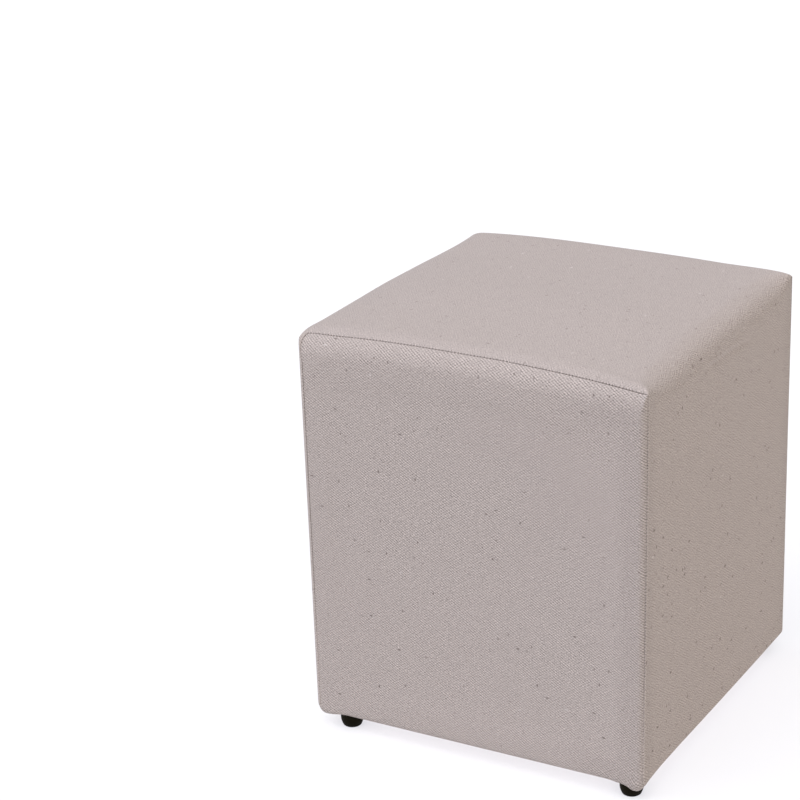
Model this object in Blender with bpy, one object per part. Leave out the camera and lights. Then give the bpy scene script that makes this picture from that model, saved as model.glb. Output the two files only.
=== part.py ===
"""Cube pouf stool, 38 x 38 x 45 cm.

A filled body in a waterfall cover, which runs up the left side, over the soft
top and down the right side, with a panel sewn in at the front and one at the
back, on four short glide feet. The origin is on the floor under the middle,
+Z is up and the front faces -Y.
"""

import math
from enum import Enum
from typing import NamedTuple

import bmesh
import bpy
from mathutils import Vector

# Driving dimensions, in metres.
WIDTH = 0.380
DEPTH = 0.382
UNDERSIDE = 0.015
GAP = 0.0003
PANEL_THICKNESS = 0.0022

# Radii of the edges that a sewn face shares with the sides, the top and the underside.
SIDE_ROLL = 0.008
TOP_ROLL = 0.0275
BOTTOM_ROLL = 0.005

# Corner radii of the outline at the underside, and how much tighter a face's corners are.
BOTTOM_LEFT_RADIUS = 0.010
BOTTOM_RIGHT_RADIUS = 0.007
FACE_CORNER_RADIUS = 0.005

# Where the seam lies on the rolled edge: 0 at the side or top, 90 on the face.
SEAM_ANGLE_TOP = 37.0
SEAM_ANGLE_LEFT = 72.0
SEAM_ANGLE_RIGHT_TOP = 5.0
SEAM_ANGLE_RIGHT_BOTTOM = 56.0
PANEL_TURN_UNDER = 0.008

CROWN_FULLNESS = 3.1

# Finishes.
CLOTH_COLOUR = (0.44, 0.385, 0.37)
CLOTH_ROUGHNESS = 0.92
PLASTIC_COLOUR = (0.012, 0.011, 0.010)
PLASTIC_ROUGHNESS = 0.45

# A short step along the cloth, over which its slope is read.
SLOPE_STEP = 0.0002

# Edges that turn by more degrees than this are shaded as creases.
SHARP_ANGLE = 40.0


class Form(NamedTuple):
    """One section across the stool: heights over the floor, crown and corner radii."""

    left_shoulder: float
    right_shoulder: float
    crown: float
    left_radius: float
    right_radius: float


# Sections at the front and back edges of the flat top, and at its middle.
FRONT_FORM = Form(0.4440, 0.4413, 0.0072, 0.0095, 0.0130)
MIDDLE_FORM = Form(0.4445, 0.4440, 0.0112, 0.0110, 0.0170)
BACK_FORM = Form(0.4428, 0.4414, 0.0048, 0.0260, 0.0210)
FRONT_REACH = 0.135
BACK_REACH = 0.215


class Run(Enum):
    """The runs of a closed outline, counterclockwise as seen from the front."""

    BOTTOM = "bottom"
    BOTTOM_RIGHT = "bottom right corner"
    RIGHT = "right side"
    TOP_RIGHT = "top right corner"
    CROWN = "crown"
    TOP_LEFT = "top left corner"
    LEFT = "left side"
    BOTTOM_LEFT = "bottom left corner"


RUN_STEPS = {
    Run.BOTTOM: 3,
    Run.BOTTOM_RIGHT: 7,
    Run.RIGHT: 4,
    Run.TOP_RIGHT: 5,
    Run.CROWN: 14,
    Run.TOP_LEFT: 5,
    Run.LEFT: 4,
    Run.BOTTOM_LEFT: 6,
}
OUTLINE = [(run, step / steps) for run, steps in RUN_STEPS.items() for step in range(steps)]
QUARTER = math.pi / 2


def mix(first: float, second: float, share: float) -> float:
    """Returns the value a share of the way from the first to the second."""
    return first + (second - first) * share


def smooth(share: float) -> float:
    """Eases a share from 0 to 1, flat at both ends."""
    share = min(1.0, max(0.0, share))
    return share * share * (3.0 - 2.0 * share)


def by_run(run: Run, along: float, bottom: float, right: float, top: float, left: float) -> float:
    """Returns a value given for the four sides of an outline, eased round its corners."""
    ease = smooth(along)
    return {
        Run.BOTTOM: bottom,
        Run.BOTTOM_RIGHT: mix(bottom, right, ease),
        Run.RIGHT: right,
        Run.TOP_RIGHT: mix(right, top, ease),
        Run.CROWN: top,
        Run.TOP_LEFT: mix(top, left, ease),
        Run.LEFT: left,
        Run.BOTTOM_LEFT: mix(left, bottom, ease),
    }[run]


def form_at(depth: float) -> Form:
    """Returns the section at a distance behind the front face."""
    front = smooth(1.0 - (depth - TOP_ROLL) / FRONT_REACH)
    back = smooth(1.0 - (DEPTH - TOP_ROLL - depth) / BACK_REACH)
    rows = zip(FRONT_FORM, MIDDLE_FORM, BACK_FORM)
    return Form(*(m + (f - m) * front + (b - m) * back for f, m, b in rows))


def place(run: Run, along: float, form: Form, turn: float) -> tuple[float, float]:
    """Returns an outline point as (x, z).

    Args:
        run: The run that the point lies on.
        along: How far along the run it lies, from 0 to 1.
        form: The section, before the edge is rolled over.
        turn: How far the edge has rolled towards the face, from 0 to 1.
    """
    half = WIDTH / 2 - SIDE_ROLL * turn
    floor = UNDERSIDE + BOTTOM_ROLL * turn
    left_top = form.left_shoulder - TOP_ROLL * turn
    right_top = form.right_shoulder - TOP_ROLL * turn
    top_left = mix(form.left_radius, FACE_CORNER_RADIUS, turn)
    top_right = mix(form.right_radius, FACE_CORNER_RADIUS, turn)
    bottom_left = mix(BOTTOM_LEFT_RADIUS, FACE_CORNER_RADIUS, turn)
    bottom_right = mix(BOTTOM_RIGHT_RADIUS, FACE_CORNER_RADIUS, turn)
    slope = math.atan(2.0 * CROWN_FULLNESS * form.crown / (2.0 * half - top_left - top_right))

    def corner(x: float, z: float, radius: float, start: float, end: float) -> tuple[float, float]:
        angle = mix(start, end, along)
        return x + radius * math.cos(angle), z + radius * math.sin(angle)

    if run is Run.BOTTOM:
        return mix(-half + bottom_left, half - bottom_right, along), floor
    if run is Run.BOTTOM_RIGHT:
        return corner(half - bottom_right, floor + bottom_right, bottom_right, -QUARTER, 0.0)
    if run is Run.RIGHT:
        return half, mix(floor + bottom_right, right_top - top_right, along)
    if run is Run.TOP_RIGHT:
        return corner(half - top_right, right_top - top_right, top_right, 0.0, QUARTER - slope)
    if run is Run.TOP_LEFT:
        return corner(-half + top_left, left_top - top_left, top_left, QUARTER + slope, math.pi)
    if run is Run.LEFT:
        return -half, mix(left_top - top_left, floor + bottom_left, along)
    if run is Run.BOTTOM_LEFT:
        return corner(-half + bottom_left, floor + bottom_left, bottom_left, math.pi, 3 * QUARTER)
    right_end = half - top_right * (1.0 - math.sin(slope))
    left_end = -half + top_left * (1.0 - math.sin(slope))
    right_height = right_top - top_right * (1.0 - math.cos(slope))
    left_height = left_top - top_left * (1.0 - math.cos(slope))
    bow = form.crown * (1.0 - abs(2.0 * along - 1.0) ** CROWN_FULLNESS)
    return mix(right_end, left_end, along), mix(right_height, left_height, along) + bow


def roll_radius(run: Run, along: float) -> float:
    """Returns the radius of the rolled edge at an outline point."""
    return by_run(run, along, BOTTOM_ROLL, SIDE_ROLL, TOP_ROLL, SIDE_ROLL)


def seam_place(run: Run, along: float) -> float:
    """Returns how far the seam lies past the start of the roll, along the cloth."""
    rise = along if run is Run.RIGHT else float(run in (Run.TOP_RIGHT, Run.CROWN))
    right_angle = mix(SEAM_ANGLE_RIGHT_BOTTOM, SEAM_ANGLE_RIGHT_TOP, rise)
    right = SIDE_ROLL * math.radians(right_angle)
    left = SIDE_ROLL * math.radians(SEAM_ANGLE_LEFT)
    top = TOP_ROLL * math.radians(SEAM_ANGLE_TOP)
    return by_run(run, along, -PANEL_TURN_UNDER, right, top, left)


def skin_point(face: int, run: Run, along: float, past: float) -> tuple[float, float, float]:
    """Returns a point of the outer skin near a sewn face.

    Args:
        face: -1 at the front, 1 at the back.
        run: The run that the point lies on.
        along: How far along the run it lies.
        past: How far past the start of the roll it lies, along the cloth.
    """
    radius = roll_radius(run, along)
    angle = min(QUARTER, max(0.0, past / radius))
    depth = radius * (1.0 - math.sin(angle)) + max(0.0, -past)
    form = form_at(depth if face < 0 else DEPTH - depth)
    x, z = place(run, along, form, 1.0 - math.cos(angle))
    return x, face * (DEPTH / 2 - depth), z


# Places across the seam: how far past it along the cloth, and how far under the skin.
RECESS = PANEL_THICKNESS + GAP
BODY_LIP = ((-0.0016, 0.0), (-0.0009, 0.0004), (-0.0004, 0.0012), (-0.0003, RECESS))
PANEL_LIP = ((0.0, PANEL_THICKNESS), (0.0001, 0.0012), (0.0006, 0.0004), (0.0014, 0.0))

# The skin is met this far behind the roll, and the body's rings step from there to its lip.
ROLL_START = -0.012
BODY_SHARES = (0.0, 0.45, 0.75)
FACE_SHARES = (0.0, 0.2, 0.4, 0.6, 0.8, 1.0)
MIDDLE_SHARES = (0.96, 0.80, 0.50, 0.15)

# Where the body's full sections stand, as distances from the front face.
SECTIONS = (0.050, 0.070, 0.100, 0.140, 0.191, 0.242, 0.282, 0.312, 0.332)

# Feet: the profile runs from the flat sole up to the underside.
FOOT_TOP_RADIUS = 0.0118
FOOT_PROFILE = (
    (0.0062, 0.0),
    (0.0078, 0.0004),
    (0.0090, 0.0016),
    (0.0096, 0.0034),
    (FOOT_TOP_RADIUS, UNDERSIDE - GAP),
)
FOOT_STEPS = 28
FOOT_PLACES = {
    "foot_front_left": (-0.1550, -0.1755),
    "foot_front_right": (0.1690, -0.1765),
    "foot_back_left": (-0.1640, 0.1700),
    "foot_back_right": (0.1660, 0.1650),
}


def sunk_ring(face: int, pasts: list, sink: float) -> list:
    """Returns a ring at given places on the rolled edge, sunk square to the skin."""
    spots = list(zip(OUTLINE, pasts))
    skin = [Vector(skin_point(face, *point, past)) for point, past in spots]
    before = [Vector(skin_point(face, *point, past - SLOPE_STEP)) for point, past in spots]
    ring = []
    for index, here in enumerate(skin):
        along = skin[(index + 1) % len(skin)] - skin[index - 1]
        outward = along.cross(here - before[index]).normalized() * -face
        ring.append(here - outward * sink)
    return ring


def lip_rings(face: int, lip: tuple) -> list:
    """Returns the rings that turn a cloth's edge in at the seam."""
    seam = [seam_place(*point) for point in OUTLINE]
    return [sunk_ring(face, [place + past for place in seam], sink) for past, sink in lip]


def face_rings(face: int, sink: float) -> list:
    """Returns the rings from just past the seam to near the middle of a face."""
    starts = [seam_place(*point) + PANEL_LIP[-1][0] for point in OUTLINE]
    ends = [roll_radius(*point) * QUARTER for point in OUTLINE]
    rings = []
    for share in FACE_SHARES:
        rings.append(sunk_ring(face, [mix(a, b, share) for a, b in zip(starts, ends)], sink))
    middle = (UNDERSIDE + FRONT_FORM.right_shoulder) / 2
    edge = rings[-1]
    for share in MIDDLE_SHARES:
        rings.append([Vector((p.x * share, p.y, middle + (p.z - middle) * share)) for p in edge])
    return rings


def body_end(face: int) -> list:
    """Returns the body's rings from its full sections to the middle of a face."""
    lips = lip_rings(face, BODY_LIP)
    ends = [seam_place(*point) + BODY_LIP[0][0] for point in OUTLINE]
    rings = [sunk_ring(face, [mix(ROLL_START, end, share) for end in ends], 0.0) for share in BODY_SHARES]
    return rings + lips + face_rings(face, RECESS)


def full_section(depth: float) -> list:
    """Returns one full section of the body."""
    form = form_at(depth)
    points = [place(run, along, form, 0.0) for run, along in OUTLINE]
    return [Vector((x, depth - DEPTH / 2, z)) for x, z in points]


def loft(name: str, rings: list, material: bpy.types.Material) -> bpy.types.Object:
    """Makes a closed solid from rings of equal length, with a cap at each end."""
    mesh = bpy.data.meshes.new(name)
    solid = bmesh.new()
    loops = [[solid.verts.new(point) for point in ring] for ring in rings]
    for first, second in zip(loops, loops[1:]):
        for index, vert in enumerate(first):
            after = (index + 1) % len(first)
            solid.faces.new((vert, first[after], second[after], second[index]))
    solid.faces.new(loops[0])
    solid.faces.new(loops[-1])
    bmesh.ops.recalc_face_normals(solid, faces=solid.faces)
    bmesh.ops.triangulate(solid, faces=solid.faces)
    solid.to_mesh(mesh)
    solid.free()
    mesh.shade_smooth()
    mesh.set_sharp_from_angle(angle=math.radians(SHARP_ANGLE))
    mesh.materials.append(material)
    thing = bpy.data.objects.new(name, mesh)
    bpy.context.scene.collection.objects.link(thing)
    return thing


def finish(name: str, colour: tuple[float, float, float], roughness: float) -> bpy.types.Material:
    """Makes a Principled material with a colour and a roughness."""
    material = bpy.data.materials.new(name)
    material.use_nodes = True
    shader = material.node_tree.nodes["Principled BSDF"]
    shader.inputs["Base Color"].default_value = (*colour, 1.0)
    shader.inputs["Roughness"].default_value = roughness
    shader.inputs["Metallic"].default_value = 0.0
    return material


def build_body() -> None:
    """Builds the filled body in its waterfall cover, with a recess for each panel."""
    sections = [full_section(depth) for depth in SECTIONS]
    rings = list(reversed(body_end(-1))) + sections + body_end(1)
    loft("cover_body", rings, finish("cover_cloth", CLOTH_COLOUR, CLOTH_ROUGHNESS))


def build_panel(name: str, face: int) -> None:
    """Builds a sewn panel as a sheet that follows the skin from seam to seam."""
    inner = face_rings(face, PANEL_THICKNESS)
    outer = face_rings(face, 0.0)
    rings = list(reversed(inner)) + lip_rings(face, PANEL_LIP) + outer
    loft(name, rings, finish(name + "_cloth", CLOTH_COLOUR, CLOTH_ROUGHNESS))


def build_foot(name: str, centre: tuple[float, float]) -> None:
    """Builds one tapered glide foot with a flat sole."""
    turns = [2.0 * math.pi * step / FOOT_STEPS for step in range(FOOT_STEPS)]
    rings = [[Vector((r * math.cos(a), r * math.sin(a), z)) for a in turns] for r, z in FOOT_PROFILE]
    foot = loft(name, rings, finish(name + "_plastic", PLASTIC_COLOUR, PLASTIC_ROUGHNESS))
    foot.location = (centre[0], centre[1], 0.0)


def main() -> None:
    """Clears the scene and builds the stool."""
    for thing in list(bpy.data.objects):
        bpy.data.objects.remove(thing, do_unlink=True)
    build_body()
    build_panel("front_panel", -1)
    build_panel("back_panel", 1)
    for name, centre in FOOT_PLACES.items():
        build_foot(name, centre)


if __name__ == "__main__":
    main()
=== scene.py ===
"""Cube pouf stool in woven upholstery cloth, dressed over its solids, with its stage and camera.

The stool is a filled body in a waterfall cover, with a panel sewn in at the front
and one at the back, on four short glide feet. All sizes are in metres.
"""

from __future__ import annotations

import logging
import math
from dataclasses import dataclass, field, fields, replace
from enum import Enum
from typing import Callable, Sequence

import bpy
from mathutils import Matrix, Vector, noise


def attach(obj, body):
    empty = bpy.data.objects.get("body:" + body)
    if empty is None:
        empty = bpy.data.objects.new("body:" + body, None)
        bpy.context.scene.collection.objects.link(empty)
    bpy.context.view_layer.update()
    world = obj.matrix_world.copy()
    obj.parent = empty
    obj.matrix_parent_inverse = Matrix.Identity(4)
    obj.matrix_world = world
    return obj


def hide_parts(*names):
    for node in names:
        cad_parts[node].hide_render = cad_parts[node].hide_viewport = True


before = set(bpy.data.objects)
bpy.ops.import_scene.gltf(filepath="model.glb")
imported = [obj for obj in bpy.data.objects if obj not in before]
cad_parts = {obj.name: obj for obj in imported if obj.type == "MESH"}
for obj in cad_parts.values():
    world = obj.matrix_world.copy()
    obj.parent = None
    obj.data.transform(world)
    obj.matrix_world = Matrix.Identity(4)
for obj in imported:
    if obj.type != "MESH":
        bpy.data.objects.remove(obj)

LOG = logging.getLogger("stool")
QUARTER = math.pi / 2
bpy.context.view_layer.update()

Pair = tuple[float, float]
Triple = tuple[float, float, float]
Key = tuple[int, int]  # a column and a row of a grid
Object = bpy.types.Object
Socket = bpy.types.NodeSocket
Ring = list[Vector]
Place = tuple[Vector, Pair, Pair]  # a grid point, its cloth map and its seam map
Row = tuple[Ring, list[float], list[float]]  # a ring, its places along the cloth and its distances from the seam


# --- small helpers ---


def mix(first: float, second: float, share: float) -> float:
    """Returns the value a share of the way from the first to the second."""
    return first + (second - first) * share


def smooth(share: float) -> float:
    """Eases a share from 0 to 1, flat at both ends."""
    share = min(1.0, max(0.0, share))
    return share * share * (3.0 - 2.0 * share)


def ramp_up(value: float, start: float, reach: float) -> float:
    """Eases from 0 where a value is at the start to 1 where it is a reach past it."""
    return smooth((value - start) / reach)


def ramp_down(value: float, start: float, reach: float) -> float:
    """Eases from 1 where a value is at the start to 0 where it is a reach past it."""
    return smooth(1.0 - (value - start) / reach)


def soft_limit(value: float, limit: float) -> float:
    """Returns the value, bent over smoothly so that it never passes the limit."""
    return limit * math.tanh(value / limit)


def select_only(piece: Object) -> None:
    """Makes one object the active and the only selected one."""
    bpy.ops.object.select_all(action="DESELECT")
    piece.select_set(True)
    bpy.context.view_layer.objects.active = piece


def added(operator: Callable[..., set[str]], name: str, **settings: object) -> Object:
    """Adds an object by an operator and names it."""
    bpy.ops.object.select_all(action="DESELECT")
    operator(**settings)
    made = bpy.context.active_object
    made.name = made.data.name = name
    return made


def hand_in(piece: Object, finish: bpy.types.Material, node: str, angle: float = 50.0) -> None:
    """Args:
        piece: The piece, with its mesh complete.
        finish: Its material.
        node: The node of the solids that it takes the place of.
        angle: The sharpest turn that is shaded smooth, in degrees.
    """
    piece.data.materials.clear()
    piece.data.materials.append(finish)
    select_only(piece)
    bpy.ops.object.shade_smooth_by_angle(angle=math.radians(angle))
    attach(piece, "root")
    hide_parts(node)


# --- the stool's form ---


class Run(Enum):
    """The runs of a closed outline, counterclockwise as seen from the front: even sides, odd corners."""

    BOTTOM = 0
    BOTTOM_RIGHT = 1
    RIGHT = 2
    TOP_RIGHT = 3
    CROWN = 4
    TOP_LEFT = 5
    LEFT = 6
    BOTTOM_LEFT = 7


class Face(Enum):
    """The two sewn faces, with the way that each looks along Y."""

    FRONT = -1
    BACK = 1


@dataclass(frozen=True)
class Section:
    """One section across the stool: heights over the floor, crown and corner radii."""

    left_shoulder: float
    right_shoulder: float
    crown: float
    left_radius: float
    right_radius: float

    def blend(self, other: Section, share: float) -> Section:
        """Returns the section a share of the way towards another one."""
        return Section(*(mix(getattr(self, f.name), getattr(other, f.name), share) for f in fields(self)))


@dataclass(frozen=True)
class Spot:
    """A place on the outline: the run, and how far along it from 0 to 1."""

    run: Run
    along: float


@dataclass(frozen=True)
class StoolForm:
    """The outer skin of the stool, as its solids have it."""

    width: float = 0.380
    depth: float = 0.382
    underside: float = 0.015
    side_roll: float = 0.008
    top_roll: float = 0.0275
    bottom_roll: float = 0.005
    bottom_left_radius: float = 0.010
    bottom_right_radius: float = 0.007
    face_corner_radius: float = 0.009
    seam_angle_top: float = 37.0
    seam_dip_right: float = 4.8
    seam_lift_left: float = 4.0
    seam_angle_left: float = 79.0
    seam_angle_right_top: float = 5.0
    seam_angle_right_bottom: float = 43.0
    panel_turn_under: float = 0.008
    seam_dip_reach: float = 0.40
    seam_lift_reach: float = 0.10
    crown_fullness: float = 3.1
    groove_top: float = 0.62
    groove_left: float = 0.62
    groove_low: float = 0.45
    pinched_radius: float = 0.0052
    pinch_reach: float = 0.034
    corner_pull: float = 0.36
    corner_pull_reach: float = 0.20
    corner_pull_raise: float = 3.2
    front: Section = Section(0.4440, 0.4413, 0.0072, 0.0095, 0.0240)
    middle: Section = Section(0.4438, 0.4433, 0.0110, 0.0110, 0.0270)
    back: Section = Section(0.4428, 0.4414, 0.0048, 0.0260, 0.0225)
    front_reach: float = 0.135
    back_reach: float = 0.215

    def section_at(self, depth: float) -> Section:
        """Returns the section at a distance behind the front plane."""
        front = ramp_down(depth, self.top_roll, self.front_reach)
        back = ramp_down(self.depth - depth, self.top_roll, self.back_reach)
        form = self.middle.blend(self.front, front).blend(self.back, back)
        near_seam = ramp_down(min(depth, self.depth - depth), 0.0, self.pinch_reach)
        return replace(form, right_radius=mix(form.right_radius, self.pinched_radius, near_seam))

    def by_run(self, spot: Spot, bottom: float, right: float, top: float, left: float) -> float:
        """Returns a value given for the four sides of an outline, eased round its corners."""
        sides = (bottom, right, top, left)
        side, is_corner = divmod(spot.run.value, 2)
        return mix(sides[side], sides[(side + 1) % 4], smooth(spot.along)) if is_corner else sides[side]

    def outline(self, spot: Spot, form: Section, turn: float) -> Pair:
        """Returns an outline point as (x, z).

        Args:
            spot: Its place on the outline.
            form: The section, before the edge is rolled over.
            turn: How far the edge has rolled towards the face, from 0 to 1.

        Returns:
            The point across and up.
        """
        half = self.width / 2 - self.side_roll * turn
        floor = self.underside + self.bottom_roll * turn
        left_top = form.left_shoulder - self.top_roll * turn
        right_top = form.right_shoulder - self.top_roll * turn
        radii = form.left_radius, form.right_radius, self.bottom_left_radius, self.bottom_right_radius
        top_left, top_right, low_left, low_right = (mix(r, self.face_corner_radius, turn) for r in radii)
        span = 2.0 * half - top_left - top_right
        slope = math.atan(2.0 * self.crown_fullness * form.crown / span)
        corners = {
            Run.BOTTOM_RIGHT: (half - low_right, floor + low_right, low_right, -QUARTER, 0.0),
            Run.TOP_RIGHT: (half - top_right, right_top - top_right, top_right, 0.0, QUARTER - slope),
            Run.TOP_LEFT: (-half + top_left, left_top - top_left, top_left, QUARTER + slope, math.pi),
            Run.BOTTOM_LEFT: (-half + low_left, floor + low_left, low_left, math.pi, 3 * QUARTER),
        }
        if spot.run in corners:
            x, z, radius, start, end = corners[spot.run]
            angle = mix(start, end, spot.along)
            return x + radius * math.cos(angle), z + radius * math.sin(angle)
        if spot.run is Run.BOTTOM:
            return mix(-half + low_left, half - low_right, spot.along), floor
        if spot.run is Run.RIGHT:
            return half, mix(floor + low_right, right_top - top_right, spot.along)
        if spot.run is Run.LEFT:
            return -half, mix(left_top - top_left, floor + low_left, spot.along)
        right_end = half - top_right * (1.0 - math.sin(slope))
        left_end = -half + top_left * (1.0 - math.sin(slope))
        right_height = right_top - top_right * (1.0 - math.cos(slope))
        left_height = left_top - top_left * (1.0 - math.cos(slope))
        bow = form.crown * (1.0 - abs(2.0 * spot.along - 1.0) ** self.crown_fullness)
        return mix(right_end, left_end, spot.along), mix(right_height, left_height, spot.along) + bow

    @staticmethod
    def crown_share(spot: Spot) -> float:
        """Returns how far a spot lies across the top, from 0 at its right end to 1 at its left end."""
        return spot.along if spot.run is Run.CROWN else float(spot.run is Run.TOP_LEFT)

    @staticmethod
    def right_share(spot: Spot) -> float:
        """Returns how far a spot lies up the right side, from 0 to 1."""
        return spot.along if spot.run is Run.RIGHT else float(spot.run in (Run.TOP_RIGHT, Run.CROWN))

    def tightness(self, spot: Spot) -> float:
        """Returns how tightly the right seam pulls the top edge flat at a spot, from 0 to 1."""
        return ramp_down(self.crown_share(spot), 0.0, self.corner_pull_reach)

    def top_radius(self, spot: Spot) -> float:
        """Returns the radius of the top's rolled edge, smaller where the right seam pulls it."""
        return self.top_roll * (1.0 - self.corner_pull * self.tightness(spot))

    def roll_radius(self, spot: Spot) -> float:
        """Returns the radius of the rolled edge at an outline spot."""
        return self.by_run(spot, self.bottom_roll, self.side_roll, self.top_radius(spot), self.side_roll)

    def roll_end(self, spot: Spot) -> float:
        """Returns how long the roll is along the cloth, up to the flat face."""
        return self.roll_radius(spot) * QUARTER

    def seam_place(self, spot: Spot) -> float:
        """Returns how far the seam lies past the start of the roll, along the cloth."""
        right_angle = mix(self.seam_angle_right_bottom, self.seam_angle_right_top, self.right_share(spot))
        right = self.side_roll * math.radians(right_angle)
        left = self.side_roll * math.radians(self.seam_angle_left)
        across = self.crown_share(spot)
        low = self.seam_dip_right * max(0.0, 1.0 - (across / self.seam_dip_reach) ** 2)
        high = self.seam_lift_left * ramp_down(1.0 - across, 0.0, self.seam_lift_reach)
        high += self.corner_pull_raise * self.tightness(spot)
        top = self.top_radius(spot) * math.radians(self.seam_angle_top + low - high)
        return self.by_run(spot, -self.panel_turn_under, right, top, left)

    def skin(self, face: Face, spot: Spot, past: float) -> Vector:
        """Returns a point of the outer skin near a sewn face.

        Args:
            face: The sewn face that it is near.
            spot: Its place on the outline.
            past: How far past the start of the roll it lies, along the cloth.

        Returns:
            The point in the stool's frame.
        """
        radius = self.roll_radius(spot)
        angle = min(QUARTER, max(0.0, past / radius))
        depth = radius * (1.0 - math.sin(angle)) + max(0.0, -past)
        form = self.section_at(depth if face is Face.FRONT else self.depth - depth)
        x, z = self.outline(spot, form, 1.0 - math.cos(angle))
        return Vector((x, face.value * (self.depth / 2 - depth), z))

    def across(self, spot: Spot, depth: float) -> Vector:
        """Returns a point of a full section at a distance behind the front plane."""
        x, z = self.outline(spot, self.section_at(depth), 0.0)
        return Vector((x, depth - self.depth / 2, z))

    def sunk(self, face: Face, spots: Sequence[Spot], pasts: Sequence[float], sinks: Sequence[float]) -> Ring:
        """Returns a ring at given places on the rolled edge, sunk square to the skin.

        Args:
            face: The sewn face that the ring is near.
            spots: The ring's places on the outline.
            pasts: How far past the start of the roll each point lies.
            sinks: How far under the skin each point lies.

        Returns:
            The ring's points.
        """
        step = 0.0002
        skin = [self.skin(face, spot, past) for spot, past in zip(spots, pasts)]
        before = [self.skin(face, spot, past - step) for spot, past in zip(spots, pasts)]
        ring = []
        for index, here in enumerate(skin):
            along = skin[(index + 1) % len(skin)] - skin[index - 1]
            outward = along.cross(here - before[index]).normalized() * -face.value
            ring.append(here - outward * sinks[index])
        return ring

    def seam_width(self, spot: Spot) -> float:
        """Returns how wide the seam's groove is, as a share of the one along the top."""
        right = mix(self.groove_low, 1.0, self.right_share(spot))
        return self.by_run(spot, 1.0, right, self.groove_top, self.groove_left)


FORM = StoolForm()
FEET = {
    "foot_front_left": (-0.1544, -0.1755),
    "foot_front_right": (0.1702, -0.1765),
    "foot_back_left": (-0.1640, 0.1700),
    "foot_back_right": (0.1660, 0.1650),
}


@dataclass(frozen=True)
class Sag:
    """A lower corner where the folded cloth hangs lower than the straight edge."""

    centre: Pair
    drop: float
    reach_along: float
    reach_up: float
    clear_of: Pair
    clear_radius: float = 0.0119
    clear_edge: float = 0.002
    lip: float = 0.003
    reach_in: float = 0.028

    def at(self, point: Vector) -> float:
        """Returns how far a point hangs down."""
        along = ramp_down(abs(point.x - self.centre[0]), 0.0, self.reach_along)
        inwards = ramp_down(abs(point.y - self.centre[1]), self.lip, self.reach_in)
        up = ramp_down(point.z, FORM.underside, self.reach_up)
        off = math.hypot(point.x - self.clear_of[0], point.y - self.clear_of[1])
        return self.drop * along * inwards * up * ramp_up(off, self.clear_radius, self.clear_edge)


@dataclass(frozen=True)
class Relief:
    """The small unevenness of stretched cloth over padding.

    The ridge is a crease across the right side, below the top's padding. A lean is given
    at the floor and at the top, and the trail is how much lower the right side's edge hangs.
    The pairs named calm, lean_across and trail_side are a start and a reach.
    """

    waviness: float = 0.00035
    wave_length: float = 0.075
    calm_seam: Pair = (0.004, 0.030)
    calm_floor: Pair = (0.030, 0.050)
    ridge: float = -0.0016
    ridge_height: float = 0.4088
    ridge_fall: float = 0.070
    ridge_width: float = 0.0037
    ridge_middle: float = 0.006
    ridge_reach: float = 0.085
    lean_across: Pair = (-0.06, 0.25)
    right_lean: Pair = (-0.0007, 0.0019)
    lift: Pair = (0.0005, -0.0004)
    sags: tuple[Sag, ...] = (
        Sag((0.1795, -0.190), 0.0034, 0.033, 0.030, FEET["foot_front_right"]),
        Sag((0.1788, -0.190), 0.0030, 0.012, 0.020, FEET["foot_front_right"]),
        Sag((-0.1775, -0.190), 0.0032, 0.026, 0.030, FEET["foot_front_left"]),
    )
    trail: float = 0.0028
    trail_start: float = -0.100
    trail_reach: float = 0.270
    trail_side: Pair = (0.180, 0.008)
    trail_height: float = 0.060

    def shift(self, point: Vector, outward: Vector, from_seam: float) -> Vector:
        """Returns how far a point of the skin moves from its plain form.

        Args:
            point: The plain point.
            outward: The skin's outward direction there.
            from_seam: The distance from the nearest seam, along the cloth.

        Returns:
            The move to add.
        """
        calm = ramp_up(from_seam, *self.calm_seam) * ramp_up(point.z, *self.calm_floor)
        wave = noise.noise(point / self.wave_length + Vector((3.1, 7.7, 1.3)))
        wave += 0.5 * noise.noise(point / self.wave_length * 2.3)
        height = self.waviness * wave * calm
        below = self.ridge_height - self.ridge_fall * point.y - point.z
        fade = ramp_down(abs(point.y - self.ridge_middle), 0.0, self.ridge_reach)
        height += self.ridge * math.exp(-((below / self.ridge_width) ** 2)) * fade * abs(outward.x) ** 4
        drop = sum(sag.at(point) for sag in self.sags) + self.trailing(point)
        rise = point.z / FORM.middle.left_shoulder
        lean = ramp_up(point.x, *self.lean_across) * mix(*self.right_lean, rise)
        return outward * height + Vector((lean, 0.0, mix(*self.lift, rise) - drop))

    def trailing(self, point: Vector) -> float:
        """Returns how much lower the right side's lower edge hangs, more towards the back."""
        back = min(1.0, max(0.0, (point.y - self.trail_start) / self.trail_reach))
        edge = ramp_up(point.x, *self.trail_side) * ramp_down(point.z, FORM.underside, self.trail_height)
        return self.trail * (1.0 - (1.0 - back) ** 2) * edge


RELIEF = Relief()


# --- finishes ---


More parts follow.
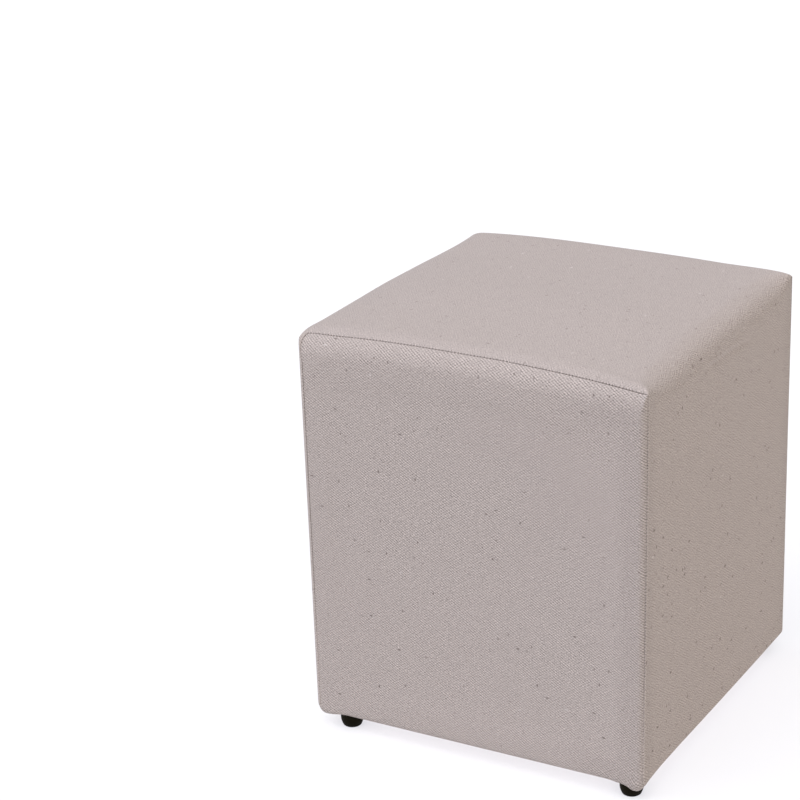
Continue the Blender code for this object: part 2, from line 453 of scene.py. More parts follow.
class Graph:
    """The nodes of one material, added and linked by short calls."""

    def __init__(self, name: str) -> None:
        """Starts a material with its Principled shader."""
        self.material = bpy.data.materials.new(name)
        self.material.use_nodes = True
        self.tree = self.material.node_tree
        self.shader = self.tree.nodes["Principled BSDF"]

    def node(self, kind: str, **settings: object) -> bpy.types.Node:
        """Adds a node and sets its properties."""
        made = self.tree.nodes.new(kind)
        for key, value in settings.items():
            setattr(made, key, value)
        return made

    def feed(self, socket: Socket, value: object) -> None:
        """Links a socket to an input, or sets the input to a value."""
        if isinstance(value, Socket):
            self.tree.links.new(value, socket)
        else:
            socket.default_value = value

    def fill(self, made: bpy.types.Node, **inputs: object) -> bpy.types.Node:
        """Sets or links a node's inputs, named with _ for each space."""
        for key, value in inputs.items():
            self.feed(made.inputs[key.replace("_", " ")], value)
        return made

    def out(self, kind: str, output: int | str = 0, **inputs: object) -> Socket:
        """Adds a node, fills its inputs and returns one of its outputs."""
        return self.fill(self.node(kind), **inputs).outputs[output]

    def math(self, operation: str, *values: object) -> Socket:
        """Adds one math node over its values."""
        made = self.node("ShaderNodeMath", operation=operation)
        for socket, value in zip(made.inputs, values):
            self.feed(socket, value)
        return made.outputs[0]

    def times(self, first: object, *others: object) -> Socket:
        """Multiplies two or more values."""
        for other in others:
            first = self.math("MULTIPLY", first, other)
        return first

    def less(self, first: object, second: object) -> Socket:
        """Subtracts the second value from the first."""
        return self.math("SUBTRACT", first, second)

    def parts(self, vector: object, kind: str = "XYZ") -> Sequence[Socket]:
        """Splits a vector, or a colour where the kind is Color, into its three parts."""
        made = self.node("ShaderNodeSeparate" + kind)
        self.feed(made.inputs[0], vector)
        return made.outputs

    def map(self, name: str) -> Socket:
        """Reads one of the piece's own maps."""
        return self.node("ShaderNodeUVMap", uv_map=name).outputs[0]

    def place(self, kind: str) -> Socket:
        """Reads the Object coordinates or the Normal of the piece."""
        return self.node("ShaderNodeTexCoord").outputs[kind]

    def noise(self, vector: object, scale: float, detail: float = 2.0, output: str = "Fac") -> Socket:
        """Adds a noise texture over a vector."""
        return self.out("ShaderNodeTexNoise", output, Vector=vector, Scale=scale, Detail=detail)

    def scaled(self, vector: object, scale: Sequence[float]) -> Socket:
        """Stretches a vector by three factors."""
        return self.out("ShaderNodeMapping", Vector=vector, Scale=scale)

    def mixed(self, share: object, first: object, second: object, blend: str = "MIX") -> Socket:
        """Mixes two colours by a share."""
        made = self.node("ShaderNodeMix", data_type="RGBA", blend_type=blend)
        for name, value in (("Factor_Float", share), ("A_Color", first), ("B_Color", second)):
            socket = next(s for s in made.inputs if s.identifier == name)
            self.feed(socket, value)
        return next(s for s in made.outputs if s.identifier == "Result_Color")

    def either(self, share: object, first: object, second: object) -> Socket:
        """Takes the first value where the share is 0 and the second one where it is 1."""
        made = self.node("ShaderNodeMix", data_type="FLOAT")
        for socket, value in ((0, share), (2, first), (3, second)):
            self.feed(made.inputs[socket], value)
        return made.outputs[0]

    def bumped(self, height: object, strength: float, distance: float) -> Socket:
        """Turns a height into a bumped normal."""
        return self.out("ShaderNodeBump", Strength=strength, Distance=distance, Height=height)

    def span(self, value: object, low: float, high: float, to_low: float = 0.0, to_high: float = 1.0) -> Socket:
        """Maps a range to another one with soft ends."""
        made = self.node("ShaderNodeMapRange", interpolation_type="SMOOTHSTEP")
        for socket, number in zip(made.inputs, (value, low, high, to_low, to_high)):
            self.feed(socket, number)
        return made.outputs[0]


@dataclass(frozen=True)
class LinenCloth:
    """A plain-woven linen-look upholstery cloth in warm greige.

    Scales are in repeats a metre and tones are shares of the cloth's colour. The hatch is
    what the crossings of light and dark yarns draw along the two diagonals. The pairs named
    after a part of the seam are the distances from the seam at which that part starts or ends.
    """

    name: str
    warp_pitch: float = 0.00214
    weft_pitch: float = 0.00148
    colour: Triple = (0.415, 0.363, 0.344)
    fleck: Triple = (0.150, 0.122, 0.112)
    nub: Triple = (0.610, 0.560, 0.550)
    roughness: float = 0.95
    sheen: float = 0.05
    yarn_relief: float = 0.00022
    fibre_relief: float = 0.00020
    fibre_scale: float = 520.0
    wobble: float = 0.0017
    wobble_scale: float = 150.0
    falling: float = 0.165
    rising: float = 0.34
    least: float = 0.38
    patch_scale: float = 220.0
    patch_edges: Pair = (0.38, 0.62)
    clumps: float = 0.36
    # how far the tone evens where the cloth faces up: painted light
    top_light_calm: float = 0.42
    plain: float = 0.89
    pale_plain: float = 0.985
    speck_scale: float = 190.0
    speck_size: float = 0.25
    speck_faint: float = 0.15
    stitch_pitch: float = 0.0035
    stitch_dark: float = 0.31
    stitch_light: float = 0.16
    # The gap, edge and beside tones are painted light: shade in the seam's gap, a highlight on the turned edge and
    # shade beside the right seam.
    gap_shade: float = 0.24
    painted_edge_highlight: float = 0.0
    beside: float = 0.055
    stitch_end: Pair = (0.0006, 0.0014)
    gap_end: Pair = (0.0003, 0.0011)
    edge_start: Pair = (0.0008, 0.0014)
    edge_end: Pair = (0.0022, 0.0034)
    beside_end: Pair = (0.006, 0.026)
    low_part: Pair = (0.07, 0.19)

    def material(self) -> bpy.types.Material:
        """Builds the cloth's material, which reads the piece's cloth and seam maps."""
        g = Graph(self.name)
        cloth = g.map("cloth")
        across, up = self.yarns(g, cloth)
        wave_across, wave_up = (g.math("SINE", g.times(count, math.pi)) for count in (across, up))
        warp_on_top = g.span(g.times(wave_across, wave_up), -0.10, 0.10)
        height = self.height(g, wave_across, wave_up, warp_on_top)
        fibres = g.noise(cloth, self.fibre_scale, 1.0)
        clumps = g.math("MULTIPLY_ADD", fibres, 2.0 * self.clumps, -self.clumps)
        # Painted light: less weave contrast and fewer flecks where the cloth faces up, as the light falls square
        # there.
        calm = self.calm(g)
        swing = g.times(g.math("ADD", self.hatch(g, cloth, across, up), clumps), calm)
        light = g.times(
            self.slubs(g, across, up, warp_on_top),
            self.stitches_and_seam_shading(g),
            g.math("ADD", swing, 1.0),
            # Painted shade: darker in the gaps between the yarns.
            g.span(height, 0.0, 0.7, 0.90, 1.02),
        )
        tone = g.mixed(1.0, (*self.colour, 1.0), light, "MULTIPLY")
        dark = (self.specks(g, cloth, stretch, self.plain) for stretch in ((1.0, 0.6, 1.0), (0.5, 1.0, 1.0)))
        pale = self.specks(g, g.scaled(cloth, (0.8, 1.1, 1.0)), (0.5, 1.0, 1.0), self.pale_plain)
        tone = g.mixed(g.times(g.math("MAXIMUM", *dark), calm), tone, (*self.fleck, 1.0))
        relief = g.math("MULTIPLY_ADD", height, self.yarn_relief, g.times(fibres, self.fibre_relief))
        g.fill(
            g.shader,
            Base_Color=g.mixed(pale, tone, (*self.nub, 1.0)),
            Roughness=self.roughness,
            Specular_IOR_Level=0.15,
            Sheen_Weight=self.sheen,
            Sheen_Roughness=0.5,
            Normal=g.bumped(relief, 1.0, 1.0),
        )
        return g.material

    def yarns(self, g: Graph, cloth: object) -> Sequence[Socket]:
        """Returns the counts of warp and weft yarns, a little uneven as in a real weave."""
        moved = g.node("ShaderNodeVectorMath", operation="MULTIPLY_ADD")
        g.feed(moved.inputs[0], g.noise(cloth, self.wobble_scale, output="Color"))
        moved.inputs[1].default_value = (self.wobble, self.wobble, 0.0)
        g.feed(moved.inputs[2], cloth)
        return g.parts(g.scaled(moved.outputs[0], (1.0 / self.warp_pitch, 1.0 / self.weft_pitch, 1.0)))[:2]

    def hatch(self, g: Graph, cloth: object, across: object, up: object) -> Socket:
        """Returns the tone along the two diagonals of the weave, in uneven patches."""
        patches = g.parts(g.noise(cloth, self.patch_scale, 1.0, "Color"), "Color")
        lines = []
        for operation, patch, strength in (("SUBTRACT", patches[0], self.falling), ("ADD", patches[1], self.rising)):
            line = g.math("COSINE", g.times(g.math(operation, across, up), math.pi))
            lines.append(g.times(line, g.span(patch, *self.patch_edges, self.least * strength, strength)))
        return g.less(*lines)

    def calm(self, g: Graph) -> Socket:
        """Returns a factor that evens the tone and the flecks where the cloth faces up: painted light, as light that
        falls square on the top leaves little shade in the weave.
        """
        return g.span(g.parts(g.place("Normal"))[2], 0.5, 1.0, 1.0, self.top_light_calm)

    def height(self, g: Graph, across: object, up: object, warp_on_top: object) -> Socket:
        """Returns the height of the weave, from 0 in the gaps to about 1 on the yarns."""
        ridge_across, ridge_up = g.math("ABSOLUTE", across), g.math("ABSOLUTE", up)

        def yarn(round_way: object, long_way: object) -> Socket:
            return g.times(g.math("POWER", round_way, 0.6), g.math("MULTIPLY_ADD", long_way, 0.5, 0.5))

        return g.either(warp_on_top, yarn(ridge_up, ridge_across), yarn(ridge_across, ridge_up))

    def slubs(self, g: Graph, across: object, up: object, warp_on_top: object) -> Socket:
        """Returns the light and dark lengths of whichever yarn is on top."""

        def yarn(count: object, along: object, seed: float) -> Socket:
            of_yarn = g.times(g.math("FLOOR", count), 17.17)
            place = g.out("ShaderNodeCombineXYZ", X=of_yarn, Y=g.times(along, 0.16), Z=seed)
            return g.span(g.noise(place, 1.0), 0.25, 0.75, 0.95, 1.05)

        return g.either(warp_on_top, yarn(up, across, 9.0), yarn(across, up, 0.0))

    def specks(self, g: Graph, cloth: object, stretch: Sequence[float], plain: float) -> Socket:
        """Returns a mask of the few specks that lie along one set of yarns."""
        cells = g.fill(g.node("ShaderNodeTexVoronoi"), Vector=g.scaled(cloth, stretch), Scale=self.speck_scale)
        near = g.span(cells.outputs["Distance"], 0.09, self.speck_size, 1.0, 0.0)
        pick = g.parts(cells.outputs["Color"], "Color")
        some = g.math("GREATER_THAN", pick[0], plain)
        return g.times(near, g.span(pick[1], 0.2, 1.0, self.speck_faint, 1.0), some)

    def stitches_and_seam_shading(self, g: Graph) -> Socket:
        """Returns the tone along the seams.

        It holds the dotted stitches, painted shade in the gap and a painted highlight on the turned edge on the
        upright seams, and painted shade beside the right seam. The lowest part of a seam shows less.
        """
        along, far = g.parts(g.map("seam"))[:2]
        facing, place = g.parts(g.place("Normal")), g.parts(g.place("Object"))
        sideways = g.span(g.math("ABSOLUTE", facing[0]), 0.1, 0.5)
        rise = g.span(place[2], *self.low_part, 0.10, 1.0)
        beat = g.math("SINE", g.times(along, 2.0 * math.pi / self.stitch_pitch))
        close = g.span(far, *self.stitch_end, 1.0, 0.0)
        dark = g.times(g.span(beat, 0.1, 0.9, 0.0, self.stitch_dark), rise)
        light = g.span(beat, -0.9, -0.1, self.stitch_light, 0.0)
        dots = g.math("MULTIPLY_ADD", g.less(light, dark), close, 1.0)
        gap = g.times(g.span(far, *self.gap_end, self.gap_shade, 0.0), rise)
        # painted highlight on the turned edge beside the upright seams
        edge = g.times(g.span(far, *self.edge_start, 0.0, self.painted_edge_highlight), g.span(far, *self.edge_end, 1.0, 0.0))
        steady = g.math("MULTIPLY_ADD", g.less(edge, gap), sideways, 1.0)
        # painted shade beside the right seam, on upright cloth
        upright = g.span(g.math("ABSOLUTE", facing[2]), 0.15, 0.5, 1.0, 0.0)
        right = g.span(place[0], 0.10, 0.15)
        beside = g.times(upright, right, g.span(far, *self.beside_end, self.beside, 0.0))
        return g.times(dots, g.less(steady, beside))


COVER_LINEN = LinenCloth(
    "cover_linen",
    falling=0.30,
    rising=0.24,
    least=-0.35,
    plain=0.865,
    speck_size=0.30,
    speck_faint=0.3,
    # the cover's painted highlight beside its upright seams
    painted_edge_highlight=0.10,
)


@dataclass(frozen=True)
class GlidePlastic:
    """Black moulded plastic with a fine grain."""

    name: str = "glide_plastic"
    colour: Triple = (0.0047, 0.0037, 0.0011)
    grain_colour: Triple = (0.0082, 0.0066, 0.0024)
    grain_scale: float = 1400.0
    roughness: float = 0.55

    def material(self) -> bpy.types.Material:
        """Builds the plastic's material over object coordinates."""
        g = Graph(self.name)
        grain = g.noise(g.place("Object"), self.grain_scale)
        g.fill(
            g.shader,
            Base_Color=g.mixed(g.span(grain, 0.35, 0.75), (*self.colour, 1.0), (*self.grain_colour, 1.0)),
            Specular_IOR_Level=0.05,
            Roughness=g.span(grain, 0.3, 0.7, self.roughness - 0.06, self.roughness + 0.12),
            Normal=g.bumped(grain, 0.25, 0.0002),
        )
        return g.material


# --- cloth pieces ---


@dataclass
class ClothPiece:
    """A grid of cloth wrapped on the stool: its places, and its cloth and seam maps."""

    name: str
    columns: int
    rows: int
    held_low: Pair = (0.025, 0.035)
    held_seam: Pair = (0.008, 0.022)
    piece: Object | None = None
    keys: list[Key] = field(default_factory=list)

    def lay_grid(self) -> None:
        """Adds a flat grid with the piece's count of columns and rows."""
        counts = {"x_subdivisions": self.columns, "y_subdivisions": self.rows}
        self.piece = added(bpy.ops.mesh.primitive_grid_add, self.name, size=1.0, **counts)

    def wrap(self, place: Callable[[int, int], Place]) -> None:
        """Moves the grid's points to their places and writes its two maps.

        Args:
            place: Gives the point, the cloth map and the seam map at a column and row.
        """
        mesh = self.piece.data
        for vert in mesh.vertices:
            self.keys.append((round((vert.co.x + 0.5) * self.columns), round((vert.co.y + 0.5) * self.rows)))
        placed = [place(*key) for key in self.keys]
        mesh.uv_layers[0].name = "cloth"
        cloth, seam = mesh.uv_layers["cloth"], mesh.uv_layers.new(name="seam")
        for loop in mesh.loops:
            _, cloth.data[loop.index].uv, seam.data[loop.index].uv = placed[loop.vertex_index]
        for vert in mesh.vertices:
            vert.co = placed[vert.index][0]
        mesh.update()

    def edit(self, *actions: Callable[[], set[str]], select: str = "SELECT") -> None:
        """Runs edit-mode operators, over the whole piece unless told to start with nothing selected."""
        select_only(self.piece)
        bpy.ops.object.mode_set(mode="EDIT")
        bpy.ops.mesh.select_all(action=select)
        for action in actions:
            action()
        bpy.ops.object.mode_set(mode="OBJECT")

    def point_outwards(self) -> None:
        """Turns all faces outwards."""
        self.edit(bpy.ops.mesh.normals_make_consistent)

    def hold(self, point: Vector, far: float) -> float:
        """Returns how firmly a point is held while the cloth settles: fully near the base and the seams."""
        return max(ramp_down(point.z, *self.held_low), ramp_down(far, *self.held_seam))

    def settle(self, limit: float, frames: int = 14) -> None:
        """Lets the padding press the cloth outwards a little.

        Args:
            limit: The furthest that a point may move.
            frames: How many frames the cloth is given.
        """
        mesh = self.piece.data
        far = self.from_seam()
        group = self.piece.vertex_groups.new(name="held")
        for vert in mesh.vertices:
            group.add([vert.index], self.hold(vert.co, far[vert.index]), "REPLACE")
        select_only(self.piece)
        bpy.ops.object.modifier_add(type="CLOTH")
        cloth = self.piece.modifiers[-1]
        cloth.settings.vertex_group_mass = "held"
        cloth.settings.use_pressure = True
        cloth.settings.uniform_pressure_force = 4.0
        cloth.settings.effector_weights.gravity = 0.0
        cloth.collision_settings.use_collision = False
        scene = bpy.context.scene
        for step in range(1, frames + 1):
            scene.frame_set(step)
        pressed = self.piece.evaluated_get(bpy.context.evaluated_depsgraph_get())
        moves = [after.co - before.co for before, after in zip(mesh.vertices, pressed.data.vertices)]
        self.piece.modifiers.remove(cloth)
        self.piece.vertex_groups.remove(group)
        scene.frame_set(1)
        for vert, move in zip(mesh.vertices, moves):
            vert.co += move.normalized() * soft_limit(move.length, limit)
        mesh.update()

    def from_seam(self) -> list[float]:
        """Returns each point's distance from the nearest seam, as its seam map holds it."""
        mesh = self.piece.data
        far = [0.0] * len(mesh.vertices)
        seam = mesh.uv_layers["seam"].data
        for loop in mesh.loops:
            far[loop.vertex_index] = seam[loop.index].uv[1]
        return far

    def work_relief(self) -> None:
        """Works the small unevenness of stretched cloth into the piece."""
        mesh = self.piece.data
        far = self.from_seam()
        moves = [RELIEF.shift(v.co, v.normal, far[v.index]) for v in mesh.vertices]
        for vert, move in zip(mesh.vertices, moves):
            vert.co += move
        mesh.update()


RUN_STEPS = {
    Run.BOTTOM: 40,
    Run.BOTTOM_RIGHT: 8,
    Run.RIGHT: 168,
    Run.TOP_RIGHT: 16,
    Run.CROWN: 92,
    Run.TOP_LEFT: 12,
    Run.LEFT: 104,
    Run.BOTTOM_LEFT: 8,
}


@dataclass
class CoverBody(ClothPiece):
    """The filled body in its waterfall cover, with a recess for each sewn panel."""

    name: str = "pouf_body"
    columns: int = sum(RUN_STEPS.values())
    rows: int = 0
    section_step: float = 0.0045
    lip: tuple[Pair, ...] = (
        (-0.0024, 0.0),
        (-0.0015, 0.0001),
        (-0.0009, 0.00038),
        (-0.0005, 0.0008),
        (-0.0003, 0.0014),
    )
    recess: float = 0.0025
    panel_gap: float = 0.0014
    roll_start: float = -0.012
    crease_from: float = 0.715
    wide_step: float = 1.23
    close_step: float = 0.4228
    corner_saving: float = 0.43
    settle_limit: float = 0.0009
    shares: tuple[float, ...] = (0.0, 0.2, 0.38, 0.54, 0.68, 0.80, 0.90)
    floor_shares: tuple[float, ...] = (0.0, 0.2, 0.4, 0.6, 0.8, 1.0)
    spots: list[Spot] = field(default_factory=list)
    laid: list[Row] = field(default_factory=list)

    def build(self, finish: LinenCloth) -> Object:
        """Args:
            finish: The cloth that it is covered in.

        Returns:
            The finished piece.
        """
        for run, count in RUN_STEPS.items():
            self.spots += [Spot(run, self.along(run, step / count)) for step in range(count)]
        self.lay_rings()
        self.rows = len(self.laid) - 1
        self.lay_grid()
        around = [self.places_round(ring) for ring, _, _ in self.laid]
        mid = FORM.depth / 2

        def place(column: int, row: int) -> Place:
            index = column % self.columns
            ring, lengths, seams = self.laid[row]
            cloth = (lengths[index] - mid, around[row][column])
            return ring[index], cloth, (around[row][column], seams[index])

        self.wrap(place)
        self.close()
        self.point_outwards()
        self.settle(self.settle_limit)
        self.point_outwards()
        self.work_relief()
        hand_in(self.piece, finish.material(), "cover_body")
        return self.piece

    def along(self, run: Run, share: float) -> float:
        """Returns how far along its run a column lies, closer together where the right side is creased."""
        if run is not Run.RIGHT:
            return share
        if share < self.crease_from:
            return share * self.wide_step
        return 1.0 - (1.0 - share) * self.close_step

    def places_round(self, ring: Ring) -> list[float]:
        """Returns each column's place round the strip of cloth, from 0 at the middle of the top.

        Args:
            ring: The points of one ring.

        Returns:
            One place for each column, and one more for the last column's far edge.
        """
        form, half = FORM.middle, FORM.width / 2
        right_height = half - self.corner_saving * form.right_radius + form.right_shoulder
        left_height = half - self.corner_saving * form.left_radius + form.left_shoulder
        places = []
        for spot, point in zip(self.spots, ring):
            right = point.z - right_height
            left = left_height - point.z
            low = FORM.underside - right_height - (half - point.x)
            if spot.run is Run.BOTTOM_LEFT:
                places.append(left + point.x + half)
            else:
                places.append(FORM.by_run(spot, low, right, -point.x, left))
        places.append(places[-1] + (ring[0] - ring[-1]).length)
        return places

    def lay_rings(self) -> None:
        """Lays all rings of the body, from the middle of one face to that of the other."""
        self.laid = self.end_rings(Face.FRONT)[::-1]
        reach = FORM.top_roll - self.roll_start
        steps = math.ceil((FORM.depth - 2 * reach) / self.section_step)
        for step in range(1, steps):
            depth = mix(reach, FORM.depth - reach, step / steps)
            ring = [FORM.across(spot, depth) for spot in self.spots]
            self.laid.append((ring, [depth] * len(ring), [min(depth, FORM.depth - depth)] * len(ring)))
        for ring, lengths, seams in self.end_rings(Face.BACK):
            self.laid.append((ring, [FORM.depth - length for length in lengths], seams))

    def end_rings(self, face: Face) -> list[Row]:
        """Returns the rings from the full sections to the recess behind a face's panel."""
        seam = [FORM.seam_place(spot) for spot in self.spots]
        radius = [FORM.roll_radius(spot) for spot in self.spots]
        rows = []

        def row(pasts: list[float], sinks: list[float]) -> None:
            lengths = [r - past for r, past in zip(radius, pasts)]
            seams = [max(0.0, s - past) for s, past in zip(seam, pasts)]
            rows.append((FORM.sunk(face, self.spots, pasts, sinks), lengths, seams))

        level, full = [0.0] * len(seam), [self.recess] * len(seam)
        width = [FORM.seam_width(spot) for spot in self.spots]
        lip_start = self.lip[0][0]
        for share in self.shares:
            row([mix(self.roll_start, place + lip_start, share) for place in seam], level)
        row([place + lip_start for place in seam], level)
        for past, sink in self.lip[1:]:
            lip = [place + past * share for place, share in zip(seam, width)]
            row(lip, [sink * share for share in width])
        row(lip, full)
        starts = [place + self.panel_gap for place in seam]
        ends = [FORM.roll_end(spot) for spot in self.spots]
        for share in self.floor_shares:
            row([mix(start, end, share) for start, end in zip(starts, ends)], full)
        return rows

    def close(self) -> None:
        """Joins the wrapped strip's two edges and closes both ends."""
        ops = bpy.ops.mesh
        self.edit(lambda: ops.remove_doubles(threshold=0.000001), lambda: ops.fill_holes(sides=0))


@dataclass
class SewnPanel(ClothPiece):
    """A panel sewn in at one face, from seam to seam, and turned under the base."""

    face: Face = Face.FRONT
    node: str = "front_panel"
    columns: int = 0
    rows: int = 0
    inner_columns: int = 92
    inner_rows: int = 104
    thickness: float = 0.0022
    cut: Pair = (0.370, 0.444)
    flat_start: float = 0.003
    flat_step: float = 0.004
    settle_limit: float = 0.0008
    lip: tuple[Pair, ...] = (
        (0.0001, 0.0018),
        (0.00015, 0.0012),
        (0.0004, 0.00062),
        (0.00075, 0.00028),
        (0.0013, 0.00006),
        (0.0020, 0.0),
    )
    shares: tuple[float, ...] = (0.1, 0.21, 0.32, 0.43, 0.54, 0.65, 0.77, 0.89)

    def build(self, finish: LinenCloth, body: Object) -> Object:
        """Args:
            finish: The cloth that it is cut from.
            body: The filled body that it is stretched over; not used.

        Returns:
            The finished piece.
        """
        self.columns = self.inner_columns + 2 * self.rings
        self.rows = self.inner_rows + 2 * self.rings
        outer = self.skin_places(0.0)
        self.lay_grid()
        self.wrap(lambda column, row: outer[column, row])
        self.face_out()
        self.settle(self.settle_limit)
        self.work_relief()
        self.thicken(outer)
        hand_in(self.piece, finish.material(), self.node)
        return self.piece

    @property
    def rings(self) -> int:
        """The count of rings that frame the flat part."""
        return len(self.lip) + len(self.shares)

    def skin_places(self, sink: float) -> dict[Key, Place]:
        """Returns the place, cloth map and seam map of each grid point.

        Args:
            sink: How far the flat part lies under the skin.

        Returns:
            A table by column and row.
        """
        places = {}
        for ring in range(self.rings):
            loop = self.ring_spots(ring)
            spots = [spot for _, spot in loop]
            seam = [FORM.seam_place(spot) for spot in spots]
            width = [FORM.seam_width(spot) for spot in spots]
            past, depth = self.lip[min(ring, len(self.lip) - 1)]
            pasts = [place + past * share for place, share in zip(seam, width)]
            if ring >= len(self.lip):
                share = self.shares[ring - len(self.lip)]
                pasts = [mix(last, FORM.roll_end(spot), share) for last, spot in zip(pasts, spots)]
            points = FORM.sunk(self.face, spots, pasts, [max(depth * share, sink) for share in width])
            run = 0.0
            for index, ((key, spot), point) in enumerate(zip(loop, points)):
                cloth = self.cloth_place(spot, pasts[index], point)
                far = max(0.0, pasts[index] - seam[index])
                places[key] = (point, cloth, (run, far))
                run += (points[(index + 1) % len(points)] - point).length
        self.fill_flat(places, sink)
        return places

    def cloth_place(self, spot: Spot, past: float, point: Vector) -> Pair:
        """Returns a roll point's place on the cloth when it is laid flat."""
        radius = FORM.roll_radius(spot)
        angle = min(QUARTER, max(0.0, past / radius))
        spare = (FORM.roll_end(spot) - past) - radius * math.cos(angle)
        side, is_corner = divmod(spot.run.value, 2)
        turn = (side - 1 + is_corner * spot.along) * QUARTER
        return point.x + spare * math.cos(turn), point.z + spare * math.sin(turn)

    def ring_spots(self, ring: int) -> list[tuple[Key, Spot]]:
        """Returns one ring of the grid, counterclockwise, with each point's outline spot."""
        right, top = self.columns - ring, self.rows - ring
        turns, rings = self.rings - ring, self.rings
        loop = []

        def side(run: Run, count: int, key: Callable[[int], Key]) -> None:
            loop.extend((key(step), Spot(run, step / count)) for step in range(count))

        side(Run.BOTTOM, self.inner_columns, lambda s: (rings + s, ring))
        side(Run.BOTTOM_RIGHT, 2 * turns, lambda s: (min(right, right - turns + s), ring + max(0, s - turns)))
        side(Run.RIGHT, self.inner_rows, lambda s: (right, rings + s))
        side(Run.TOP_RIGHT, 2 * turns, lambda s: (right - max(0, s - turns), min(top, top - turns + s)))
        side(Run.CROWN, self.inner_columns, lambda s: (self.columns - rings - s, top))
        side(Run.TOP_LEFT, 2 * turns, lambda s: (max(ring, ring + turns - s), top - max(0, s - turns)))
        side(Run.LEFT, self.inner_rows, lambda s: (ring, self.rows - rings - s))
        side(Run.BOTTOM_LEFT, 2 * turns, lambda s: (ring + max(0, s - turns), max(ring, ring + turns - s)))
        return loop

    def fill_flat(self, places: dict[Key, Place], sink: float) -> None:
        """Fills the flat part of the face inside the rings, edge to edge."""
        y = self.face.value * (FORM.depth / 2 - sink)
        form = FORM.section_at(0.0 if self.face is Face.FRONT else FORM.depth)

        def edge(run: Run, places: Sequence[float]) -> list[Vector]:
            flat = (FORM.outline(Spot(run, along), form, 1.0) for along in places)
            return [Vector((x, y, z)) for x, z in flat]

        across, up = self.inner_columns, self.inner_rows
        by_column, by_row = ([step / count for step in range(count + 1)] for count in (across, up))
        bottom, crown = edge(Run.BOTTOM, by_column), edge(Run.CROWN, by_column)[::-1]
        left, right = edge(Run.LEFT, by_row)[::-1], edge(Run.RIGHT, by_row)
        corners = (Run.BOTTOM_LEFT, Run.BOTTOM_RIGHT, Run.TOP_LEFT, Run.TOP_RIGHT)
        bottom[0], bottom[-1], crown[0], crown[-1] = (edge(run, [0.5])[0] for run in corners)
        left[0], right[0], left[-1], right[-1] = bottom[0], bottom[-1], crown[0], crown[-1]
        for i in range(across + 1):
            for j in range(up + 1):
                u, v = i / across, j / up
                rows = bottom[i] * (1.0 - v) + crown[i] * v
                sides = left[j] * (1.0 - u) + right[j] * u
                low = bottom[0] * (1.0 - u) + bottom[-1] * u
                high = crown[0] * (1.0 - u) + crown[-1] * u
                point = rows + sides - (low * (1.0 - v) + high * v)
                far = self.flat_start + min(i, across - i, j, up - j) * self.flat_step
                places[self.rings + i, self.rings + j] = (point, (point.x, point.z), (0.0, far))

    def face_out(self) -> None:
        """Turns the open cloth so that it faces away from the stool."""
        middle = self.piece.data.polygons[len(self.piece.data.polygons) // 2]
        if middle.normal.y * self.face.value < 0.0:
            self.edit(bpy.ops.mesh.flip_normals)

    def thicken(self, outer: dict[Key, Place]) -> None:
        """Adds the cloth's inner side and joins it to the outer one all round."""
        inner = self.skin_places(self.thickness)
        mesh = self.piece.data
        moves = [vert.co - outer[key][0] for vert, key in zip(mesh.vertices, self.keys)]
        self.edit(bpy.ops.mesh.duplicate, bpy.ops.mesh.flip_normals)
        for vert in mesh.vertices[len(self.keys):]:
            index = vert.index - len(self.keys)
            vert.co = inner[self.keys[index]][0] + moves[index]
        others = dict.fromkeys(("use_wire", "use_multi_face", "use_non_contiguous", "use_verts"), False)
        self.edit(
            lambda: bpy.ops.mesh.select_mode(type="EDGE"),
            lambda: bpy.ops.mesh.select_non_manifold(**others),
            bpy.ops.mesh.bridge_edge_loops,
            select="DESELECT",
        )
        self.point_outwards()


# --- feet ---


@dataclass
class GlideFoot:
    """A tapered glide foot with a rounded sole edge."""

    node: str
    centre: Pair
    steps: int = 72
    sole_dimple: tuple[Pair, ...] = ((0.0026, 0.0010), (0.0034, 0.0002), (0.0042, 0.0))
    profile: tuple[Pair, ...] = (
        *((0.0085, 0.0), (0.0094, 0.0003), (0.0100, 0.0009), (0.0103, 0.0017)),
        *((0.0109, 0.0030), (0.0117, 0.0055), (0.0121, 0.0078), (0.0122, 0.0112)),
        *((0.0119, 0.0115), (0.0119, 0.0121), (0.0124, 0.0124), (0.0124, 0.0145), (0.0122, 0.0147)),
    )

    def build(self, finish: bpy.types.Material) -> Object:
        """Builds the foot from its sole up.

        Args:
            finish: The plastic's material.

        Returns:
            The finished piece.
        """
        x, y = self.centre
        rows = self.sole_dimple + self.profile
        radius, height = rows[0]
        circle = {"vertices": self.steps, "radius": radius, "fill_type": "NGON", "location": (x, y, height)}
        foot = added(bpy.ops.mesh.primitive_circle_add, self.node.replace("foot", "glide"), **circle)
        bpy.ops.object.mode_set(mode="EDIT")
        bpy.ops.mesh.select_all(action="SELECT")
        for next_radius, next_height in rows[1:]:
            rise = (0.0, 0.0, next_height - height)
            bpy.ops.mesh.extrude_region_move(TRANSFORM_OT_translate={"value": rise})
            grow = next_radius / radius
            bpy.ops.transform.resize(value=(grow, grow, 1.0), center_override=(x, y, next_height))
            radius, height = next_radius, next_height
        bpy.ops.mesh.select_all(action="SELECT")
        bpy.ops.mesh.normals_make_consistent(inside=False)
        bpy.ops.object.mode_set(mode="OBJECT")
        bpy.ops.object.transform_apply(location=True, rotation=True, scale=True)
        hand_in(foot, finish, self.node, 35.0)
        return foot


# --- stage, light and camera ---


@dataclass(frozen=True)
class SunLamp:
    """A soft far lamp: where its light comes from, its strength and its tint."""

    name: str
    source: Triple
    strength: float
    tint: Triple
    softness: float
    casts: bool

    def hang(self) -> None:
        """Adds the lamp to the scene."""
        lamp = added(bpy.ops.object.light_add, self.name, type="SUN", location=self.source)
        lamp.rotation_euler = Vector(self.source).to_track_quat("Z", "Y").to_euler()
        lamp.data.energy = self.strength
        lamp.data.color = self.tint
        lamp.data.angle = math.radians(self.softness)
        lamp.data.use_shadow = self.casts


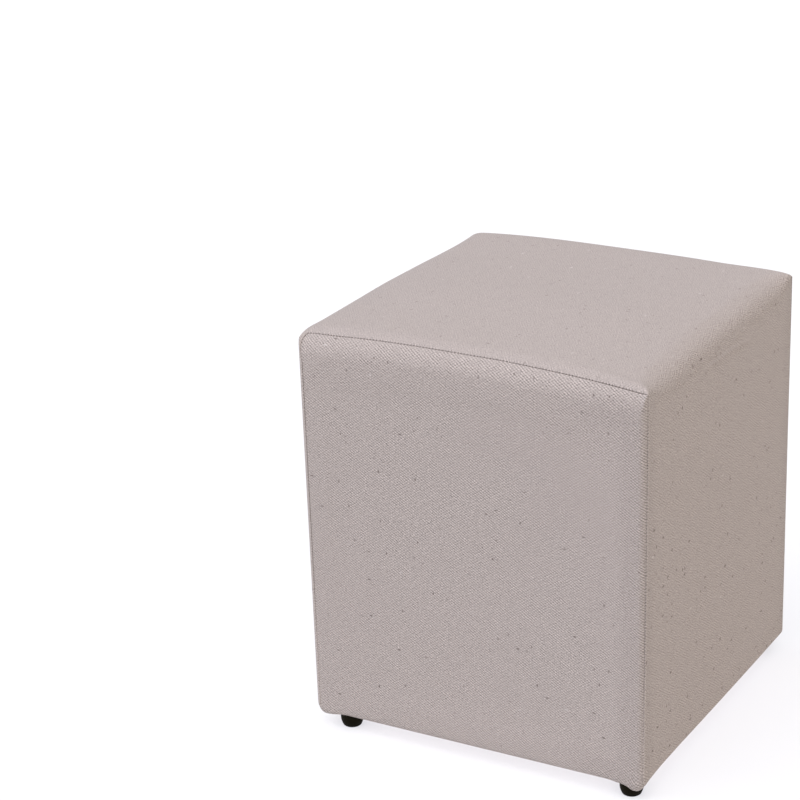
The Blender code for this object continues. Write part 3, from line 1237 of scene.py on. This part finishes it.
@dataclass(frozen=True)
class Studio:
    """A plain pale floor, soft light and the camera."""

    floor_size: float = 60.0
    floor_colour: Triple = (0.80, 0.80, 0.80)
    sky: Triple = (1.0, 1.0, 1.0)
    sky_strength: float = 0.375
    lamps: tuple[SunLamp, ...] = (
        SunLamp("key", (-0.22, -0.38, 0.90), 0.6, (1.0, 1.0, 1.0), 60.0, True),
        SunLamp("key_fill", (-0.22, -0.375, 0.90), 2.47, (1.0, 1.015, 1.095), 24.0, False),
        SunLamp("side_fill", (1.0, 0.0, 0.25), 0.765, (1.0, 0.815, 0.56), 40.0, False),
    )
    azimuth: float = 30.148
    elevation: float = 21.721
    roll: float = -2.259
    eye: Triple = (1.0852, -2.1830, 1.3067)
    focal_pixels: float = 2517.5
    frame_pixels: float = 800.0
    sensor: float = 36.0

    def lay_floor(self) -> None:
        """Adds the floor."""
        floor = added(bpy.ops.mesh.primitive_plane_add, "floor", size=self.floor_size)
        g = Graph("floor_paint")
        g.fill(g.shader, Base_Color=(*self.floor_colour, 1.0), Roughness=1.0, Specular_IOR_Level=0.0)
        floor.data.materials.append(g.material)

    def light(self) -> None:
        """Sets the sky and hangs the lamps."""
        world = bpy.data.worlds.new("studio_sky")
        bpy.context.scene.world = world
        world.use_nodes = True
        sky = world.node_tree.nodes["Background"]
        sky.inputs["Color"].default_value = (*self.sky, 1.0)
        sky.inputs["Strength"].default_value = self.sky_strength
        for lamp in self.lamps:
            lamp.hang()

    def place_camera(self) -> None:
        """Places the camera at the photo's viewing angle."""
        angles = (self.azimuth, 90.0 - self.elevation, self.roll)
        around, tip, roll = (Matrix.Rotation(math.radians(a), 3, axis) for a, axis in zip(angles, "ZXZ"))
        camera = added(bpy.ops.object.camera_add, "camera", location=self.eye)
        camera.rotation_euler = (around @ tip @ roll).to_euler()
        camera.data.sensor_width = self.sensor
        camera.data.lens = self.focal_pixels * self.sensor / self.frame_pixels
        camera.data.clip_start, camera.data.clip_end = 0.05, 200.0
        bpy.context.scene.camera = camera

    def set_up(self) -> None:
        """Sets up the whole stage."""
        self.lay_floor()
        self.light()
        self.place_camera()
        bpy.context.scene.view_settings.view_transform = "Standard"


def report(piece: Object) -> None:
    """Logs a finished piece with its count of triangles."""
    count = sum(len(face.vertices) - 2 for face in piece.data.polygons)
    LOG.info("%s: %d triangles", piece.name, count)


def main() -> None:
    """Builds the stool's pieces in order, then the stage."""
    logging.basicConfig(level=logging.INFO, format="%(name)s: %(message)s")
    body = CoverBody().build(COVER_LINEN)
    report(body)
    for face, node in ((Face.FRONT, "front_panel"), (Face.BACK, "back_panel")):
        panel = SewnPanel(name="sewn_" + node, face=face, node=node)
        report(panel.build(LinenCloth(node + "_linen", clumps=0.43), body))
    plastic = GlidePlastic().material()
    for node, centre in FEET.items():
        report(GlideFoot(node, centre).build(plastic))
    Studio().set_up()


if __name__ == "__main__":
    main()
